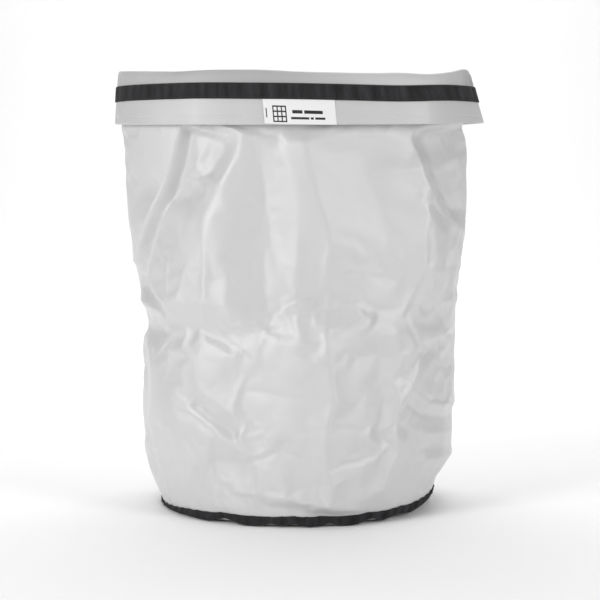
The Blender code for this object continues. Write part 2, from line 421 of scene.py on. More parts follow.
# ---- waves and folds
def ring_angles(count):
    """Even angles round the bag, from the back round to the back, with 0 at the front."""
    return np.linspace(-pi, pi, count, endpoint=False)


def ring_wave(angles, knots, softness=5.0):
    """A smooth wave round a ring, through knots of (degrees from the front, millimetres)."""
    turns, sizes = np.array(knots, float).T
    shifts = np.radians(np.linspace(-softness, softness, 7))
    waves = [np.interp(angles + shift, np.radians(turns), sizes * MM, period=2 * pi) for shift in shifts]
    return np.mean(waves, axis=0)


def gathers(angles, count, drift, drift_count):
    """Ripples from -1 to 1 round the bag, pushed to and fro so that their spacing varies."""
    return np.sin(count * angles + drift * np.sin(drift_count * angles))


def fold(across, heights, path, left, right, height, ends=(0.25, 0.25), crest=2.0):
    """One crease: straight flanks that meet along a path, in millimetres as seen face on.

    left and right are the flanks' widths beside a path that runs down; where it runs to the right,
    left is the flank below it.  height is how far the crest stands out, or in where it is negative,
    ends are the shares of the path over which it fades, and crest is the radius of its top.
    """
    spots = np.array(path, float) * MM
    lengths = np.linalg.norm(np.diff(spots, axis=0), axis=1)
    total = lengths.sum()
    nearest = np.full((3, *across.shape), np.inf)
    begun = 0.0
    for start, end, length in zip(spots, spots[1:], lengths):
        step = (end - start) / length
        from_start = (across - start[0]) * step[0] + (heights - start[1]) * step[1]
        held = np.clip(from_start, 0.0, length)
        off_x = across - (start[0] + held * step[0])
        off_z = heights - (start[1] + held * step[1])
        distance = np.hypot(off_x, off_z)
        side = np.sign(off_x * -step[1] + off_z * step[0])
        spot = np.stack([distance, side, (begun + held) / total])
        nearest = np.where(distance < nearest[0], spot, nearest)
        begun += length
    distance, side, share = nearest
    width = np.where(side < 0, left, right) * MM
    rounding = crest * MM
    flank = 1.0 - (np.hypot(distance, rounding) - rounding) / width
    foot = 0.06
    lifted = 0.5 * (flank + np.sqrt(flank * flank + foot * foot)) - 0.5 * foot * foot
    fade = smooth_step(share / ends[0]) if ends[0] else 1.0
    fade = fade * (smooth_step((1.0 - share) / ends[1]) if ends[1] else 1.0)
    return height * MM * np.maximum(lifted, 0.0) * fade


def folded(across, heights, folds):
    total = np.zeros_like(across)
    for shape in folds:
        total += fold(across, heights, *shape)
    return total


def between_rows(heights, rows, sizes, rounding):
    """A size at any heights from its table of rows, with its corners rounded off."""
    shifts = np.linspace(-rounding, rounding, 13)
    return np.mean([np.interp(heights + shift, rows, sizes) for shift in shifts], axis=0)


def panels_flattened(across, heights, half_widths, half_depths, middles, panels):
    """Relief that turns stretches of an oval into flat panels.

    Each panel is its left edge, its right edge and the length over which it fades out at its
    top and foot.  Edges run upwards, as (height, place across) in millimetres.
    """
    def depth(places):
        share = np.clip((places - middles) / half_widths, -1.0, 1.0)
        return half_depths * np.sqrt(1.0 - share**2)

    total = np.zeros_like(across)
    for left_edge, right_edge, fade in panels:
        left, right = [between_rows(heights, *(np.array(edge, float) * MM).T, PANEL_ROUNDING)
                       for edge in (left_edge, right_edge)]
        share = np.clip((across - left) / (right - left), 0.0, 1.0)
        chord = depth(left) + (depth(right) - depth(left)) * share
        foot, top = left_edge[0][0] * MM, left_edge[-1][0] * MM
        held = smooth_step((heights - foot) / (fade * MM)) * smooth_step((top - heights) / (fade * MM))
        inside = (across > left) & (across < right)
        total += np.where(inside, (chord - depth(across)) * held, 0.0)
    return total


def facing(angles, middle):
    """1 on the side of the bag round an angle, fading to 0 before the far side."""
    return smooth_step((np.cos(angles - middle) + 0.15) / 0.35)


# ---- the wall
def cad_rows(node):
    """Heights, half widths and half depths of a ring-shaped CAD node, row by row."""
    points = np.array([vertex.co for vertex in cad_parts[node].data.vertices])
    heights = np.unique(np.round(points[:, 2], 3))
    near = [np.abs(points[:, 2] - height) < MM for height in heights]
    widths = np.array([points[rows, 0].max() for rows in near])
    depths = np.array([points[rows, 1].max() for rows in near])
    return heights, widths, depths


WALL_ROWS, WALL_WIDTHS, WALL_DEPTHS = cad_rows("bag_body")
WALL_FOOT = WALL_ROWS[0]
WALL_TOP = WALL_ROWS[-1] - 5 * MM
MOUTH_SHIFT = 3.5 * MM
ROW_ROUNDING = 8 * MM
PANEL_ROUNDING = 18 * MM

# Where the wall's left and right edges bulge or dent: height, spread and reach.
LEFT_EDGE = [(175, 9, -3.0), (238, 16, 2.5), (150, 14, 1.5)]
RIGHT_EDGE = [(66, 16, -3.0), (28, 14, -3.0), (380, 30, -2.0), (205, 10, 1.0)]

# Folds, each as fold's values: path, left, right, height and, where they differ, ends and crest.
FRONT_FOLDS = [
    # the left shoulder, from the cuff down to the side
    ([(-104, 376), (-113, 345), (-123, 317), (-136, 285), (-150, 255), (-172, 212)],
     5, 48, -14.0, (0.02, 0.05)),
    ([(-101, 374), (-99, 350), (-96, 329)], 12, 14, 3.0, (0.05, 0.15)),
    ([(-66, 374), (-71, 353), (-90, 326)], 16, 13, -4.5, (0.05, 0.2)),
    ([(-52, 375), (-59, 344), (-73, 317), (-84, 296)], 20, 30, 4.5, (0.05, 0.4), 9.0),
    ([(-119, 323), (-106, 314), (-92, 321)], 10, 6, -3.0, (0.2, 0.2)),
    ([(-118, 312), (-132, 284), (-134, 262), (-121, 232), (-119, 212), (-125, 182)],
     30, 40, 7.0, (0.15, 0.2)),
    # long folds down the front
    ([(-92, 316), (-87, 290), (-86, 255), (-86, 215), (-87, 178)], 50, 34, 6.0, (0.2, 0.25), 10.0),
    ([(-45, 376), (-35, 331), (-29, 284), (-31, 237), (-27, 185), (-37, 160), (-52, 146)],
     34, 26, -8.0, (0.2, 0.22), 3.0),
    ([(4, 376), (12, 331), (28, 284), (31, 268), (26, 244), (23, 212)],
     44, 50, 8.0, (0.1, 0.35), 1.5),
    ([(24, 225), (28, 156), (35, 118), (26, 99), (26, 76), (23, 57), (31, 43), (26, 10)],
     80, 46, 15.0, (0.25, 0.06), 1.5),
    # the right shoulder
    ([(120, 372), (121, 331), (124, 308), (123, 261), (121, 242), (124, 205), (130, 160)],
     90, 44, 13.0, (0.18, 0.4), 3.0),
    ([(126, 376), (133, 336), (144, 315), (160, 297), (178, 286)], 15, 44, -17.0, (0.08, 0.03), 3.0),
    ([(150, 288), (147, 255), (144, 222), (146, 190)], 10, 12, -3.0, (0.2, 0.3)),
    # the arch across the middle
    ([(-12, 197), (7, 204), (23, 207)], 16, 10, 3.0, (0.3, 0.25), 1.2),
    ([(28, 208), (47, 209), (73, 190)], 18, 10, 3.0, (0.25, 0.2), 1.2),
    # the lower left
    ([(-170, 196), (-146, 186), (-124, 170)], 16, 10, -7.0, (0.05, 0.25)),
    ([(-114, 205), (-108, 165), (-106, 130), (-112, 90), (-108, 30)], 30, 40, 5.0, (0.25, 0.25), 4.0),
    ([(-100, 180), (-76, 166), (-50, 156)], 12, 6, 2.0, (0.2, 0.2)),
    ([(-100, 115), (-80, 100), (-54, 82)], 5, 14, -5.0, (0.1, 0.15)),
    ([(-98, 62), (-83, 58), (-45, 60), (-17, 71), (-2, 95)], 40, 20, -6.0, (0.2, 0.25), 3.0),
    # the lower middle and right
    ([(84, 196), (98, 160), (88, 138), (98, 112), (86, 92), (94, 68), (80, 40), (78, 12)],
     40, 14, 5.0, (0.1, 0.1), 1.5),
    ([(136, 205), (132, 170), (140, 130), (138, 80), (132, 20)], 36, 22, 6.0, (0.2, 0.1), 1.5),
    ([(59, 90), (83, 68)], 8, 7, 3.0, (0.15, 0.15)),
    ([(97, 116), (122, 98), (160, 88)], 14, 9, -5.0, (0.12, 0.08)),
    ([(85, 90), (102, 71)], 7, 8, 3.0, (0.15, 0.15)),
    ([(112, 55), (158, 47)], 8, 8, 3.0, (0.2, 0.05)),
]

# Stretches of the front where the cloth hangs flat: left edge, right edge, fade.
FRONT_PANELS = [
    ([(178, -128), (212, -122), (232, -124), (262, -137), (284, -137), (318, -120)],
     [(178, -87), (255, -86), (290, -87), (318, -92)], 14),
    ([(160, -87), (255, -86), (290, -87), (335, -70)], [(160, -37), (185, -27), (284, -29), (335, -36)], 24),
    ([(12, -36), (50, -34), (74, -46), (96, -62), (122, -60), (148, -46), (160, -37), (185, -27), (237, -31),
      (284, -29), (370, -44)],
     [(12, 26), (43, 31), (57, 23), (99, 26), (118, 35), (156, 28), (212, 23), (268, 31), (284, 28),
      (370, 4)], 20),
    ([(186, 22), (212, 23), (268, 31), (284, 28), (370, 4)],
     [(186, 92), (214, 106), (237, 115), (370, 119)], 20),
    ([(12, 26), (43, 31), (57, 23), (76, 26), (99, 26), (118, 35), (156, 28), (190, 26)],
     [(12, 78), (60, 84), (100, 92), (150, 97), (190, 90)], 30),
]

BACK_FOLDS = [
    ([(110, 372), (92, 330), (84, 285), (88, 240)], 34, 26, -5.0, (0.1, 0.35)),
    ([(48, 374), (40, 330), (52, 280), (50, 235), (38, 190)], 30, 34, 5.0, (0.1, 0.3)),
    ([(-40, 372), (-34, 330), (-46, 290), (-40, 250), (-52, 205)], 32, 30, -5.0, (0.1, 0.35)),
    ([(-98, 374), (-104, 335), (-92, 295), (-98, 245), (-90, 200)], 26, 30, 5.0, (0.08, 0.3)),
    ([(-60, 180), (-30, 196), (20, 190), (58, 168)], 14, 18, 3.0),
    ([(-100, 150), (-84, 110), (-92, 70), (-84, 30)], 24, 24, -3.6, (0.25, 0.2)),
    ([(30, 130), (18, 92), (26, 50), (20, 15)], 26, 28, 4.0, (0.25, 0.15)),
    ([(96, 128), (104, 90), (92, 48)], 20, 24, 3.6, (0.25, 0.2)),
    ([(-20, 96), (20, 78), (60, 92), (84, 112)], 14, 16, -3.2),
]

RIGHT_FOLDS = [
    ([(-52, 374), (-44, 335), (-50, 300)], 14, 18, -5.0, (0.05, 0.3)),
    ([(8, 374), (2, 330), (14, 285), (8, 235), (18, 190)], 24, 28, 5.0, (0.08, 0.3)),
    ([(56, 374), (48, 332), (54, 290)], 20, 18, -4.5, (0.05, 0.35)),
    ([(-40, 180), (-10, 168), (30, 176), (60, 160)], 14, 16, 3.0),
    ([(-30, 120), (-12, 80), (-20, 40)], 22, 24, 3.6, (0.25, 0.2)),
    ([(50, 128), (40, 88), (52, 46)], 20, 22, -3.6),
]

LEFT_FOLDS = [
    ([(-48, 374), (-56, 338), (-44, 298), (-50, 250)], 20, 22, 4.5, (0.05, 0.3)),
    ([(4, 374), (10, 336), (-2, 292), (6, 240), (0, 196)], 26, 26, -5.0, (0.08, 0.3)),
    ([(52, 374), (60, 340), (50, 300), (56, 256)], 20, 18, 4.0, (0.05, 0.35)),
    ([(-64, 188), (-30, 176), (6, 184), (44, 170)], 12, 16, -3.6),
    ([(-44, 140), (-30, 96), (-40, 50)], 24, 22, 3.6, (0.25, 0.2)),
    ([(34, 130), (44, 84), (34, 40)], 22, 24, -3.2),
]

# The base seam's height round the ring: lifted on the right, with small puckers along the front.
BASE_LIFT = [(-180, 0.0), (-120, 1.0), (-100, 0.5), (-60, 0.0), (-38, 0.4), (-30, 1.6), (-22, 0.2),
             (-9, 0.3), (-2, 1.5), (4, 0.2), (9, 1.2), (16, 0.1), (25, 0.4), (30, 1.7), (36, 0.7),
             (45, 2.6), (52, 2.6), (60, 5.0), (75, 9.0), (90, 11.0), (105, 9.0), (130, 3.0), (150, 0.5)]
PUCKER_REACH = 26 * MM
PUCKER_DEPTH = 0.5 * MM
TAPE_SOFTNESS = 1.6
SEAM_LIFT_REACH = 90 * MM


def lean(heights):
    """The wall's middle stands a little to the left of the base towards the mouth."""
    return -MOUTH_SHIFT * smooth_step((heights - 200 * MM) / (180 * MM))


def base_lift(angles):
    return ring_wave(angles, BASE_LIFT, TAPE_SOFTNESS)


def oval_out(angles, half_widths, half_depths):
    """Outward directions square to an oval."""
    across = np.sin(angles) / half_widths
    deep = -np.cos(angles) / half_depths
    return unit(np.stack([across, deep, np.zeros_like(angles)], axis=-1))


def wall_relief(angles, across, deep, heights, half_widths, half_depths):
    """How far the folded cloth stands out from the smooth wall."""
    flat = panels_flattened(across, heights, half_widths, half_depths, lean(heights), FRONT_PANELS)
    front = facing(angles, 0.0)
    relief = (folded(across, heights, FRONT_FOLDS) + flat) * front
    relief += folded(-across, heights, BACK_FOLDS) * facing(angles, pi)
    relief += folded(deep, heights, RIGHT_FOLDS) * facing(angles, pi / 2) * (1 - front)
    relief += folded(-deep, heights, LEFT_FOLDS) * facing(angles, -pi / 2) * (1 - front)
    above_base = heights - WALL_FOOT
    held = smooth_step(above_base / (12 * MM)) * smooth_step((WALL_TOP - heights) / (30 * MM))
    puckers = gathers(angles, 47, 3.0, 5) * np.exp(-above_base / PUCKER_REACH)
    return relief * held + PUCKER_DEPTH * puckers * smooth_step(above_base / (3 * MM))


def wall_place(angles, heights, lift=0.0):
    """Points on the folded wall, moved out by lift."""
    half_widths = between_rows(heights, WALL_ROWS, WALL_WIDTHS, ROW_ROUNDING)
    half_depths = between_rows(heights, WALL_ROWS, WALL_DEPTHS, ROW_ROUNDING)
    side = np.sin(angles)
    edge = np.where(side < 0, bumps(heights, LEFT_EDGE), bumps(heights, RIGHT_EDGE)) * side**2
    across = (half_widths + edge) * side + lean(heights)
    deep = -half_depths * np.cos(angles)
    raised = heights + base_lift(angles) * (1.0 - smooth_step(heights / SEAM_LIFT_REACH))
    points = np.stack([across, deep, raised], axis=-1)
    relief = wall_relief(angles, across, deep, heights, half_widths, half_depths) + lift
    return points + oval_out(angles, half_widths, half_depths) * relief[..., None]


def ring_grid(columns, sizes):
    """A grid of angles round the bag by one other size."""
    return np.meshgrid(ring_angles(columns), sizes)


# Where the front's cloth is loose and crumples: place across, height, reach across, reach up, share.
LOOSE_PATCHES = [(-110, 110, 60, 70, 0.9), (105, 95, 55, 80, 0.9), (25, 200, 60, 22, 0.9),
                 (-85, 330, 40, 35, 0.6), (0, 30, 120, 25, 0.8), (-40, 100, 45, 50, 0.6),
                 (135, 230, 30, 80, 0.8), (-140, 230, 30, 60, 0.7)]
PATCH_SIZE = 70 * MM
TIGHT_SHARE = 0.22
BACK_LOOSENESS = 0.5
SPARE_CLOTH = 0.04
UNDER_CUFF = 22 * MM
UNDER_TAPE = 4 * MM
NYLON_CLOTH = {"quality": 4, "mass": 0.05, "tension_stiffness": 30, "compression_stiffness": 30,
               "shear_stiffness": 15, "bending_stiffness": 0.05, "air_damping": 2}
MOST_FREE = 0.95
SETTLING_STEPS = 14
LONGEST_MOVE = 6 * MM
UNEVENNESS = 0.25 * MM
WALL_ROUGHNESS = 0.34


def looseness(angles, heights, points):
    """How loose the cloth is, from 0 to 1: mostly at the lower sides and round the folds."""
    across = points[..., 0]
    front = np.full(across.shape, TIGHT_SHARE)
    for centre, height, reach, rise, share in LOOSE_PATCHES:
        spread = ((across - centre * MM) / (reach * MM)) ** 2 + ((heights - height * MM) / (rise * MM)) ** 2
        front = np.maximum(front, share * np.exp(-spread))
    facing_front = facing(angles, 0.0)
    patches = 0.6 + 0.4 * roughen(points, PATCH_SIZE, 11.0)
    return np.clip((front * facing_front + BACK_LOOSENESS * (1 - facing_front)) * patches, 0.0, 1.0)


def freedom(angles, heights):
    """1 where the cloth may move, and 0 where the cuff, the base tape and the back seam hold it."""
    from_seam = (pi - np.abs(angles)) * MESH_RADIUS
    beside = smooth_step((from_seam - SEAM_HALF_WIDTH) / (10 * MM))
    below_cuff = smooth_step((WALL_TOP - UNDER_CUFF - heights) / (26 * MM))
    return beside * below_cuff * smooth_step((heights - WALL_FOOT - UNDER_TAPE) / (10 * MM))


def weight_group(piece, name, weights):
    """A named vertex group with each point's weight, rounded to hundredths."""
    group = piece.vertex_groups.new(name=name)
    rounded = np.round(weights.ravel(), 2)
    for value in np.unique(rounded):
        group.add(np.nonzero(rounded == value)[0].tolist(), float(value), "REPLACE")
    return name


def settle(piece, start, free, loose):
    """Let the spare cloth in the loose places crumple, while springs hold the long folds."""
    cloth = piece.modifiers.new("cloth", "CLOTH")
    cloth.collision_settings.use_collision = False
    cloth.point_cache.frame_end = SETTLING_STEPS
    for name, value in NYLON_CLOTH.items():
        setattr(cloth.settings, name, value)
    cloth.settings.effector_weights.gravity = 0.0
    cloth.settings.vertex_group_mass = weight_group(piece, "held", 1.0 - MOST_FREE * free)
    cloth.settings.vertex_group_shrink = weight_group(piece, "tight", 1.0 - free * loose)
    cloth.settings.shrink_min = -SPARE_CLOTH
    for step in range(1, SETTLING_STEPS + 1):
        scene.frame_set(step)
    settled = piece.evaluated_get(bpy.context.evaluated_depsgraph_get())
    moved = np.array([vertex.co for vertex in settled.data.vertices]) - start
    length = np.linalg.norm(moved, axis=1, keepdims=True)
    moved *= LONGEST_MOVE / np.maximum(length, LONGEST_MOVE)
    piece.modifiers.remove(cloth)
    piece.vertex_groups.clear()
    piece.data.vertices.foreach_set("co", (start + moved).ravel())
    scene.frame_set(1)


def bag_cloth():
    """The wall: folded, settled, rounded once and then given its thickness."""
    angles, heights = ring_grid(300, np.linspace(WALL_FOOT, WALL_TOP, 136))
    points = wall_place(angles, heights)
    uneven = UNEVENNESS * roughen(points, 12 * MM, 5.0)
    points[..., :2] *= (1.0 + uneven / np.linalg.norm(points[..., :2], axis=-1))[..., None]
    material = nylon("bag_nylon", CLOTH_WHITE, WALL_ROUGHNESS)
    piece = grid_piece("bag_cloth", points, True, CLOTH_THICKNESS, material, "bag_body")
    layer = piece.modifiers["thickness"]
    layer.show_viewport = False
    settle(piece, points.reshape(-1, 3), freedom(angles, heights), looseness(angles, heights, points))
    layer.show_viewport = True
    rounding = piece.modifiers.new("rounding", "SUBSURF")
    rounding.levels = 1
    rounding.render_levels = 1
    piece.modifiers.move(1, 0)


# ---- the cuff at the mouth
CUFF_FLARE = 9 * MM
CUFF_INSET = 1.0 * MM
HEM_SHIFT = 5.5 * MM
CRINKLE_DEPTH = 0.55 * MM
FOLD_RADIUS = 2.4 * MM
HEM_RADIUS = 1.3 * MM
HEM_TURN = 9 * MM
FACING_DROP = 22 * MM
EDGE_BLEND = 12 * MM

# Waves of the folded edge, of the webbing and of the hem: degrees from the front, millimetres up.
EDGE_WAVE = [(-165, 1.5), (-140, -2.0), (-118, 1.0), (-88, 1.0), (-62, 0.0), (-39, -1.5), (-30, 0.0),
             (-9, 0.0), (0, -2.0), (17, -3.0), (31, -3.0), (37, -2.0), (46, -4.0), (60, -1.5), (75, 3.0),
             (92, 0.0), (115, -2.5), (140, 0.5), (160, -1.0)]
BAND_WAVE = [(-180, 0.0), (-140, -1.5), (-110, 1.0), (-90, 0.0), (-31, 3.0), (0, 2.0), (33, 0.0), (54, 1.5),
             (90, 0.0), (125, -1.5), (155, 1.0)]
HEM_WAVE = [(-180, 1.0), (-140, -1.5), (-110, 0.5), (-90, 0.0), (-60, -1.0), (-30, -1.0), (0, -1.0),
            (35, -0.5), (60, 0.5), (90, 1.0), (130, -1.5), (160, 0.0)]

CUFF_FOLDS = [
    ([(-98, 414), (-95, 400), (-94, 380)], 26, 34, 2.6, (0.3, 0.0)),
    ([(122, 414), (122, 400), (124, 380)], 40, 22, 2.6, (0.3, 0.0)),
    ([(20, 416), (24, 398), (22, 380)], 30, 40, 0.9, (0.3, 0.0)),
]


def crinkle(angles, heights):
    """Fine upright creases where the mouth turns sharply at its two ends."""
    ends = np.abs(np.sin(angles)) ** 14
    return CRINKLE_DEPTH * np.sin(64 * angles + 2.0 * np.sin(heights / (9 * MM))) * ends


def cuff_height(angles, drops):
    """Height of the cuff's cloth at a drop below its fold."""
    past_edge = smooth_step(drops / EDGE_BLEND)
    past_band = smooth_step((drops - WEBBING_FOOT_DROP) / (CUFF_DROP - WEBBING_FOOT_DROP))
    wave = ring_wave(angles, EDGE_WAVE) * (1 - past_edge)
    wave += ring_wave(angles, BAND_WAVE) * (past_edge - past_band)
    wave += ring_wave(angles, HEM_WAVE) * past_band
    return BAG_HEIGHT - drops + wave


def cuff_place(angles, drops, reach, share):
    """Points of the cuff: share is how far out the flare is, from 0 at the fold to 1 at the hem."""
    outside = CUFF_HALF_WIDTH - CUFF_INSET - CUFF_FLARE * (1 - share) + reach
    half_depth = outside - CUFF_HALF_WIDTH + CUFF_HALF_DEPTH
    across = outside * np.sin(angles) - MOUTH_SHIFT + HEM_SHIFT * share
    deep = -half_depth * np.cos(angles)
    heights = cuff_height(angles, drops)
    points = np.stack([across, deep, heights], axis=-1)
    relief = folded(across, heights, CUFF_FOLDS) * facing(angles, 0.0)
    relief = (relief + crinkle(angles, heights)) * smooth_step(drops / (8 * MM))
    return points + oval_out(angles, outside, half_depth) * relief[..., None]


def cuff_outside(angles, drops, lift=0.0):
    return cuff_place(angles, drops, lift, drops / CUFF_DROP)


def cuff_section():
    """The cuff in section, hem to facing: rows of (drop, reach, share of the flare)."""
    hem_middle = CUFF_DROP - HEM_RADIUS
    rows = []
    for drop in np.linspace(CUFF_DROP - HEM_TURN, hem_middle, 4, endpoint=False):
        rows.append((drop, -2 * HEM_RADIUS, drop / CUFF_DROP))
    for turn in np.linspace(-pi, 0.0, 6, endpoint=False):
        rows.append((hem_middle - HEM_RADIUS * sin(turn), HEM_RADIUS * (cos(turn) - 1), 1.0))
    for drop in np.linspace(hem_middle, FOLD_RADIUS, 36, endpoint=False):
        rows.append((drop, 0.0, drop / CUFF_DROP))
    for turn in np.linspace(0.0, pi, 9, endpoint=False):
        drop = FOLD_RADIUS * (1 - sin(turn))
        rows.append((drop, FOLD_RADIUS * (cos(turn) - 1), 0.0))
    for drop in np.linspace(FOLD_RADIUS, FACING_DROP, 12):
        rows.append((drop, -2 * FOLD_RADIUS, 0.0))
    return np.array(rows)


def cuff_cloth():
    section = cuff_section()
    angles = ring_angles(480)
    rows = [cuff_place(angles, drop, reach, share) for drop, reach, share in section]
    material = cuff_nylon_with_painted_shade("cuff_nylon_with_painted_shade", CUFF_WHITE, 0.42)
    points = np.array(rows)
    piece = grid_piece("cuff_cloth", points, True, CUFF_THICKNESS, material, "mouth_cuff")


# ---- webbing
LAYER_GAP = 0.2 * MM
EDGE_DIP = 0.3 * MM
WEBBING_LIFT = LAYER_GAP + WEBBING_THICKNESS
LAP_LIFT = 2 * WEBBING_LIFT
LAP_TURN = asin(LAP_HALF_WIDTH / CUFF_HALF_WIDTH)


def webbing_place(angles, drops, lift):
    """Points on the webbing, whose two edges are pulled down a little by their stitching."""
    width = WEBBING_FOOT_DROP - WEBBING_TOP_DROP
    share = (drops - WEBBING_TOP_DROP) / width
    edge = np.abs(2 * share - 1) ** 6
    return cuff_outside(angles, drops, lift - EDGE_DIP * edge)


def mouth_webbing(material):
    angles, drops = ring_grid(720, np.linspace(WEBBING_FOOT_DROP, WEBBING_TOP_DROP, 15))
    points = webbing_place(angles, drops, WEBBING_LIFT)
    piece = grid_piece("webbing", points, True, WEBBING_THICKNESS, material, "mouth_webbing")


def webbing_lap(material):
    """The webbing's end, laid over its beginning at the middle of the back."""
    turns = np.linspace(pi - LAP_TURN, pi + LAP_TURN, 24)
    angles, drops = np.meshgrid(turns, np.linspace(WEBBING_FOOT_DROP, WEBBING_TOP_DROP, 15))
    points = webbing_place(angles, drops, LAP_LIFT)
    grid_piece("webbing_end", points, False, WEBBING_THICKNESS, material, "webbing_lap")


# ---- stitching
STITCH_PITCH = 3.0 * MM
STITCH_LENGTH = 2.3 * MM
STITCH_INSET = 1.6 * MM
HEM_STITCH_RISE = 7.5 * MM
FACING_STITCH_RISE = 3 * MM


def stitches(name, centres, along, out, length, thread, node):
    """Short straight stitches that dip into the cloth at both ends; thread is its material slot."""
    ring_count, corner_count = 7, 6
    shares = np.linspace(-1.0, 1.0, ring_count)
    swell = np.sqrt(1.0 - 0.94 * shares**2)
    spine = centres[:, None] + along[:, None] * (shares * length / 2)[:, None]
    spine = spine + out[:, None] * (THREAD_RADIUS * (1.6 * swell - 1.0))[:, None]
    aside = np.cross(along, out)
    turns = np.linspace(0.0, 2 * pi, corner_count, endpoint=False)
    rims = out[:, None] * np.cos(turns)[:, None] + aside[:, None] * np.sin(turns)[:, None]
    points = spine[:, :, None] + rims[:, None] * (THREAD_RADIUS * swell)[:, None, None]
    faces = []
    for stitch in range(len(centres)):
        first = stitch * ring_count * corner_count
        last = first + (ring_count - 1) * corner_count
        faces.append([first + corner for corner in range(corner_count)])
        faces.append([last + corner for corner in reversed(range(corner_count))])
        for ring in range(first, last, corner_count):
            for corner in range(corner_count):
                after = (corner + 1) % corner_count
                above = ring + corner_count
                faces.append((ring + after, ring + corner, above + corner, above + after))
    mesh = new_mesh(name, points, faces)
    mesh.shade_smooth()
    add_piece(name, mesh, THREADS[thread], [node])


def stitch_row(name, place, closed, thread, node):
    """Even stitches along a line; place gives its points, raised off the cloth by a distance."""
    line, above = place(0.0), place(MM)
    if closed:
        line = np.concatenate([line, line[:1]])
        above = np.concatenate([above, above[:1]])
    reached = reach_along(line)
    count = int(reached[-1] / STITCH_PITCH)
    middles = (np.arange(count) + 0.5) * reached[-1] / count

    def along_line(values, places):
        return np.stack([np.interp(places, reached, values[:, axis]) for axis in range(3)], axis=-1)

    centres = along_line(line, middles)
    ahead = along_line(line, middles + STITCH_LENGTH / 2) - along_line(line, middles - STITCH_LENGTH / 2)
    out = unit(along_line(above, middles) - centres)
    stitches(name, centres, unit(ahead), out, STITCH_LENGTH, thread, node)


def webbing_stitches():
    angles = ring_angles(720)
    over_lap = np.abs(np.abs(angles) - pi) < LAP_TURN
    lift = np.where(over_lap, LAP_LIFT, WEBBING_LIFT)
    rows = {"upper": WEBBING_TOP_DROP + STITCH_INSET, "lower": WEBBING_FOOT_DROP - STITCH_INSET}
    for row, drop in rows.items():
        stitch_row("webbing_thread_" + row, lambda raised: webbing_place(angles, drop, lift + raised),
                   True, "dark_thread", "webbing_stitch_" + row)


def cuff_stitches():
    """The row that holds the turned hem, hidden under the label, and the row inside the mouth."""
    label_turn = asin(LABEL_HALF_WIDTH / CUFF_HALF_WIDTH)
    turns = np.linspace(label_turn, 2 * pi - label_turn, 700)
    hem_drop = CUFF_DROP - HEM_STITCH_RISE
    stitch_row("hem_thread", lambda raised: cuff_outside(turns, hem_drop, raised),
               False, "light_thread", "cuff_hem_stitch")
    angles = ring_angles(720)
    drop = FACING_DROP - FACING_STITCH_RISE
    stitch_row("facing_thread", lambda raised: cuff_place(angles, drop, -2 * FOLD_RADIUS - raised, 0.0),
               True, "light_thread", "facing_stitch")


# ---- label
LABEL_SHIFT = 1.4 * MM
LABEL_SLOPE = 0.018
LABEL_TOP_DROP = WEBBING_FOOT_DROP - 0.8 * MM
LABEL_FOOT_DROP = CUFF_DROP - 0.6 * MM
LABEL_LIFT = LAYER_GAP + LABEL_THICKNESS
PRINT_THICKNESS = 0.06 * MM
TACK_HEIGHT = 7.0 * MM
TACK_PITCH = 0.42 * MM
TACK_WIDTH = 1.9 * MM
TACK_INSET = 2.6 * MM
TACK_FOOT = 5.5 * MM


def label_place(across, drops, lift):
    """Points on the label, by distance to the right of its middle and drop below the fold."""
    half_width = CUFF_HALF_WIDTH - CUFF_FLARE * (1 - drops / CUFF_DROP)
    angles = np.arcsin((across + LABEL_SHIFT) / half_width)
    lowered = drops + LABEL_SLOPE * across
    return cuff_outside(angles, lowered, lift)


def label_ripple(across, drops):
    """Faint ripples across the label that die out towards its sewn upper edge."""
    return 0.25 * MM * np.sin(across / (7 * MM)) * smooth_step((drops - LABEL_TOP_DROP) / (12 * MM))


def size_label():
    places = np.linspace(-LABEL_HALF_WIDTH, LABEL_HALF_WIDTH, 80)
    across, drops = np.meshgrid(places, np.linspace(LABEL_FOOT_DROP, LABEL_TOP_DROP, 24))
    points = label_place(across, drops, LABEL_LIFT + label_ripple(across, drops))
    material = label_satin("label_satin", LABEL_WHITE)
    piece = grid_piece("label", points, False, LABEL_THICKNESS, material, "size_label")


def print_blocks():
    """Generic print: a small sieve square, and plain bars where a maker puts its words."""
    blocks = []
    left, foot, side, line = -25.5, 49.0, 13.0, 1.1
    for step in range(4):
        offset = step * (side - line) / 3
        blocks.append((left + offset, left + offset + line, foot - side, foot))
        blocks.append((left, left + side, foot - side + offset, foot - side + offset + line))
    blocks += [(-7.0, 2.5, 39.2, 41.8), (4.2, 21.5, 39.2, 41.8)]
    blocks += [(-8.6, 8.4, 44.6, 46.4), (9.8, 12.6, 44.6, 46.4), (14.0, 23.4, 44.6, 46.4)]
    return blocks


def label_print():
    """Each printed block as a thin patch that lies on the label."""
    points, faces = [], []
    for left, right, top, foot in print_blocks():
        across, drops = np.meshgrid(np.linspace(left, right, 12) * MM, np.linspace(foot, top, 3) * MM)
        lift = LABEL_LIFT + label_ripple(across, drops) + PRINT_THICKNESS
        patch = label_place(across, drops, lift)
        faces += grid_faces(patch, False, len(points))
        points.extend(patch.reshape(-1, 3))
    mesh = new_mesh("label_print", points, faces)
    piece = add_piece("label_print", mesh, print_ink("label_ink", PRINT_BLACK))
    thicken(piece, PRINT_THICKNESS, -1.0)


def label_tack():
    """A short upright bar of close cross stitches at the label's left end."""
    rises = np.arange(0.0, TACK_HEIGHT, TACK_PITCH)
    across = TACK_INSET - LABEL_HALF_WIDTH
    drops = LABEL_FOOT_DROP - TACK_FOOT - rises
    centres = label_place(across, drops, LABEL_LIFT)
    out = unit(label_place(across, drops, LABEL_LIFT + MM) - centres)
    along = unit(label_place(across + MM, drops, LABEL_LIFT) - centres)
    stitches("tack_thread", centres, along, out, TACK_WIDTH, "dark_thread", "label_tack")


